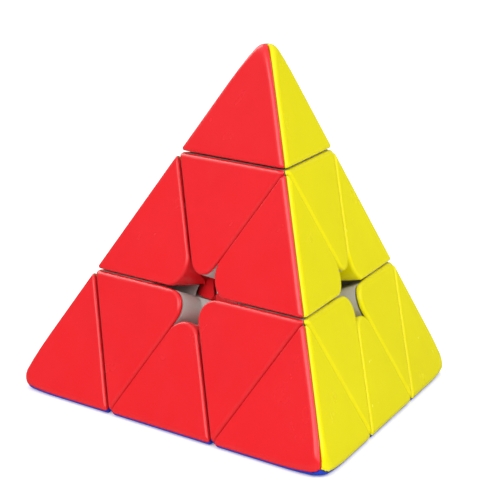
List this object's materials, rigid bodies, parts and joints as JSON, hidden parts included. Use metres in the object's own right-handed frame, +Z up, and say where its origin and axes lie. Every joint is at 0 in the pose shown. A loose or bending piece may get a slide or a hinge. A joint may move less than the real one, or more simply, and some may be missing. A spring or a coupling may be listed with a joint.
{
  "type": "pyramid twisty puzzle",
  "caption": "Stickerless tetrahedral twisty puzzle: turning corner layers and corner tips in glossy coloured plastic round a sprung inner core.",
  "frame": {"origin": "the centre of the core, where the four corner axes cross", "axes": "+Z points up through the top corner, square to the blue face that the puzzle stands on; -Y points over the front corner; +X points to the side of the right corner"},
  "size_m": [0.097, 0.0849, 0.0792],
  "materials": {
    "red_plastic": "glossy, coloured through",
    "yellow_plastic": "glossy, coloured through",
    "blue_plastic": "glossy, coloured through",
    "green_plastic": "glossy, coloured through",
    "inner_plastic": "satin, light grey, as moulded",
    "screw_steel": "zinc-plated",
    "spring_steel": "drawn spring wire"
  },
  "bodies": {
    "core": {"core": "inner_plastic", "screw_top": "screw_steel", "spring_top": "spring_steel", "screw_front": "screw_steel", "spring_front": "spring_steel", "screw_right": "screw_steel", "spring_right": "spring_steel", "screw_left": "screw_steel", "spring_left": "spring_steel"},
    "axial_top": {"axial_top_body": "inner_plastic", "axial_top_cap_green": "green_plastic", "axial_top_cap_red": "red_plastic", "axial_top_cap_yellow": "yellow_plastic"},
    "axial_front": {"axial_front_body": "inner_plastic", "axial_front_cap_blue": "blue_plastic", "axial_front_cap_red": "red_plastic", "axial_front_cap_yellow": "yellow_plastic"},
    "axial_right": {"axial_right_body": "inner_plastic", "axial_right_cap_blue": "blue_plastic", "axial_right_cap_green": "green_plastic", "axial_right_cap_yellow": "yellow_plastic"},
    "axial_left": {"axial_left_body": "inner_plastic", "axial_left_cap_blue": "blue_plastic", "axial_left_cap_green": "green_plastic", "axial_left_cap_red": "red_plastic"},
    "tip_top": {"tip_top_stem": "inner_plastic", "tip_top_shell_green": "green_plastic", "tip_top_shell_red": "red_plastic", "tip_top_shell_yellow": "yellow_plastic"},
    "tip_front": {"tip_front_stem": "inner_plastic", "tip_front_shell_blue": "blue_plastic", "tip_front_shell_red": "red_plastic", "tip_front_shell_yellow": "yellow_plastic"},
    "tip_right": {"tip_right_stem": "inner_plastic", "tip_right_shell_blue": "blue_plastic", "tip_right_shell_green": "green_plastic", "tip_right_shell_yellow": "yellow_plastic"},
    "tip_left": {"tip_left_stem": "inner_plastic", "tip_left_shell_blue": "blue_plastic", "tip_left_shell_green": "green_plastic", "tip_left_shell_red": "red_plastic"},
    "edge_top_front": {"edge_top_front_half_red": "red_plastic", "edge_top_front_half_yellow": "yellow_plastic"},
    "edge_top_right": {"edge_top_right_half_green": "green_plastic", "edge_top_right_half_yellow": "yellow_plastic"},
    "edge_top_left": {"edge_top_left_half_green": "green_plastic", "edge_top_left_half_red": "red_plastic"},
    "edge_front_right": {"edge_front_right_half_blue": "blue_plastic", "edge_front_right_half_yellow": "yellow_plastic"},
    "edge_front_left": {"edge_front_left_half_blue": "blue_plastic", "edge_front_left_half_red": "red_plastic"},
    "edge_right_left": {"edge_right_left_half_blue": "blue_plastic", "edge_right_left_half_green": "green_plastic"}
  },
  "joints": [
    {"name": "apex_layer_turn", "type": "hinge", "parent": "core", "child": "axial_top", "pos_m": [0, 0, 0], "axis": [0, 0, 1], "continuous": true},
    {"name": "front_layer_turn", "type": "hinge", "parent": "core", "child": "axial_front", "pos_m": [0, 0, 0], "axis": [0, -0.9428, -0.3333], "range_deg": [-360, 360]},
    {"name": "right_layer_turn", "type": "hinge", "parent": "core", "child": "axial_right", "pos_m": [0, 0, 0], "axis": [0.8165, 0.4714, -0.3333], "range_deg": [-360, 360]},
    {"name": "left_layer_turn", "type": "hinge", "parent": "core", "child": "axial_left", "pos_m": [0, 0, 0], "axis": [-0.8165, 0.4714, -0.3333], "range_deg": [-360, 360]},
    {"name": "apex_tip_turn", "type": "hinge", "parent": "axial_top", "child": "tip_top", "pos_m": [0, 0, 0], "axis": [0, 0, 1], "continuous": true},
    {"name": "corner_front_turn", "type": "hinge", "parent": "axial_front", "child": "tip_front", "pos_m": [0, 0, 0], "axis": [0, -0.9428, -0.3333], "continuous": true},
    {"name": "corner_right_turn", "type": "hinge", "parent": "axial_right", "child": "tip_right", "pos_m": [0, 0, 0], "axis": [0.8165, 0.4714, -0.3333], "continuous": true},
    {"name": "corner_left_turn", "type": "hinge", "parent": "axial_left", "child": "tip_left", "pos_m": [0, 0, 0], "axis": [-0.8165, 0.4714, -0.3333], "continuous": true},
    {"name": "edge_top_front_turn", "type": "hinge", "parent": "axial_top", "child": "edge_top_front", "pos_m": [0, 0, 0], "axis": [0, -0.9428, -0.3333], "range_deg": [-360, 360]},
    {"name": "edge_top_right_turn", "type": "hinge", "parent": "axial_top", "child": "edge_top_right", "pos_m": [0, 0, 0], "axis": [0.8165, 0.4714, -0.3333], "range_deg": [-360, 360]},
    {"name": "edge_top_left_turn", "type": "hinge", "parent": "axial_top", "child": "edge_top_left", "pos_m": [0, 0, 0], "axis": [-0.8165, 0.4714, -0.3333], "range_deg": [-360, 360]},
    {"name": "edge_front_right_turn", "type": "hinge", "parent": "axial_front", "child": "edge_front_right", "pos_m": [0, 0, 0], "axis": [0.8165, 0.4714, -0.3333], "range_deg": [-360, 360]},
    {"name": "edge_front_left_turn", "type": "hinge", "parent": "axial_front", "child": "edge_front_left", "pos_m": [0, 0, 0], "axis": [-0.8165, 0.4714, -0.3333], "range_deg": [-360, 360]},
    {"name": "edge_right_left_turn", "type": "hinge", "parent": "axial_right", "child": "edge_right_left", "pos_m": [0, 0, 0], "axis": [-0.8165, 0.4714, -0.3333], "range_deg": [-360, 360]}
  ],
  "couplings": [
    {"joint": "edge_top_front_turn", "follows": "front_layer_turn", "ratio": 1},
    {"joint": "edge_top_right_turn", "follows": "right_layer_turn", "ratio": 1},
    {"joint": "edge_top_left_turn", "follows": "left_layer_turn", "ratio": 1},
    {"joint": "edge_front_right_turn", "follows": "right_layer_turn", "ratio": 1},
    {"joint": "edge_front_left_turn", "follows": "left_layer_turn", "ratio": 1},
    {"joint": "edge_right_left_turn", "follows": "left_layer_turn", "ratio": 1}
  ]
}
